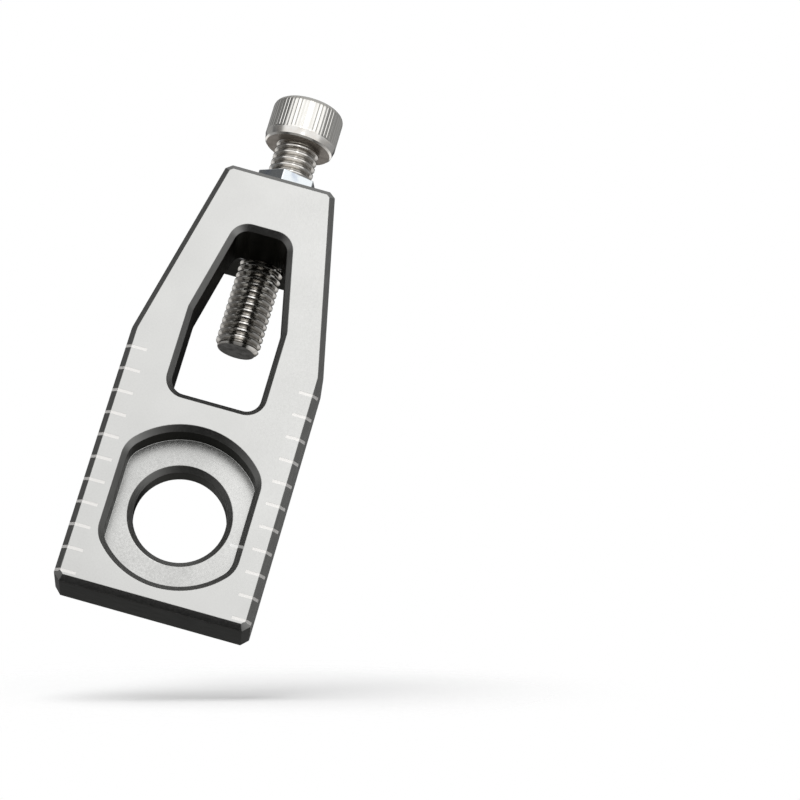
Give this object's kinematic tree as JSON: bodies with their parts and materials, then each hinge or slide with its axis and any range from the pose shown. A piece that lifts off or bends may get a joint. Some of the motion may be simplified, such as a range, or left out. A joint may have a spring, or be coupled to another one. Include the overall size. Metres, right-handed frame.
{
  "type": "motorcycle chain adjuster",
  "caption": "Milled aluminium axle plate with a nut recess, a tapered window and an end block, through which a socket head screw with a lock nut bears on the swingarm's end.",
  "frame": {"origin": "centre of the axle bore, midway between the floor of the nut recess and the plate's back face", "axes": "+Z along the plate towards the screw's head, +X across the plate, -Y out of the marked front face, +Y towards the swingarm"},
  "size_m": [0.0336, 0.0248, 0.1004],
  "materials": {
    "blasted_aluminium": "fine matt blasted face with milled chamfers",
    "bright_steel": "bright nickel-like, knurled head",
    "zinc_plated_steel": "bluish zinc plating"
  },
  "bodies": {
    "plate": {"adjuster_plate": "blasted_aluminium"},
    "screw": {"adjusting_screw": "bright_steel"},
    "nut": {"lock_nut": "zinc_plated_steel"}
  },
  "joints": [
    {"name": "screw_advance", "type": "slide", "parent": "plate", "child": "screw", "axis": [0, 0, 1], "range_m": [-0.005, 0.0125]},
    {"name": "nut_back_off", "type": "slide", "parent": "plate", "child": "nut", "axis": [0, 0, 1], "range_m": [0, 0.00125]}
  ]
}
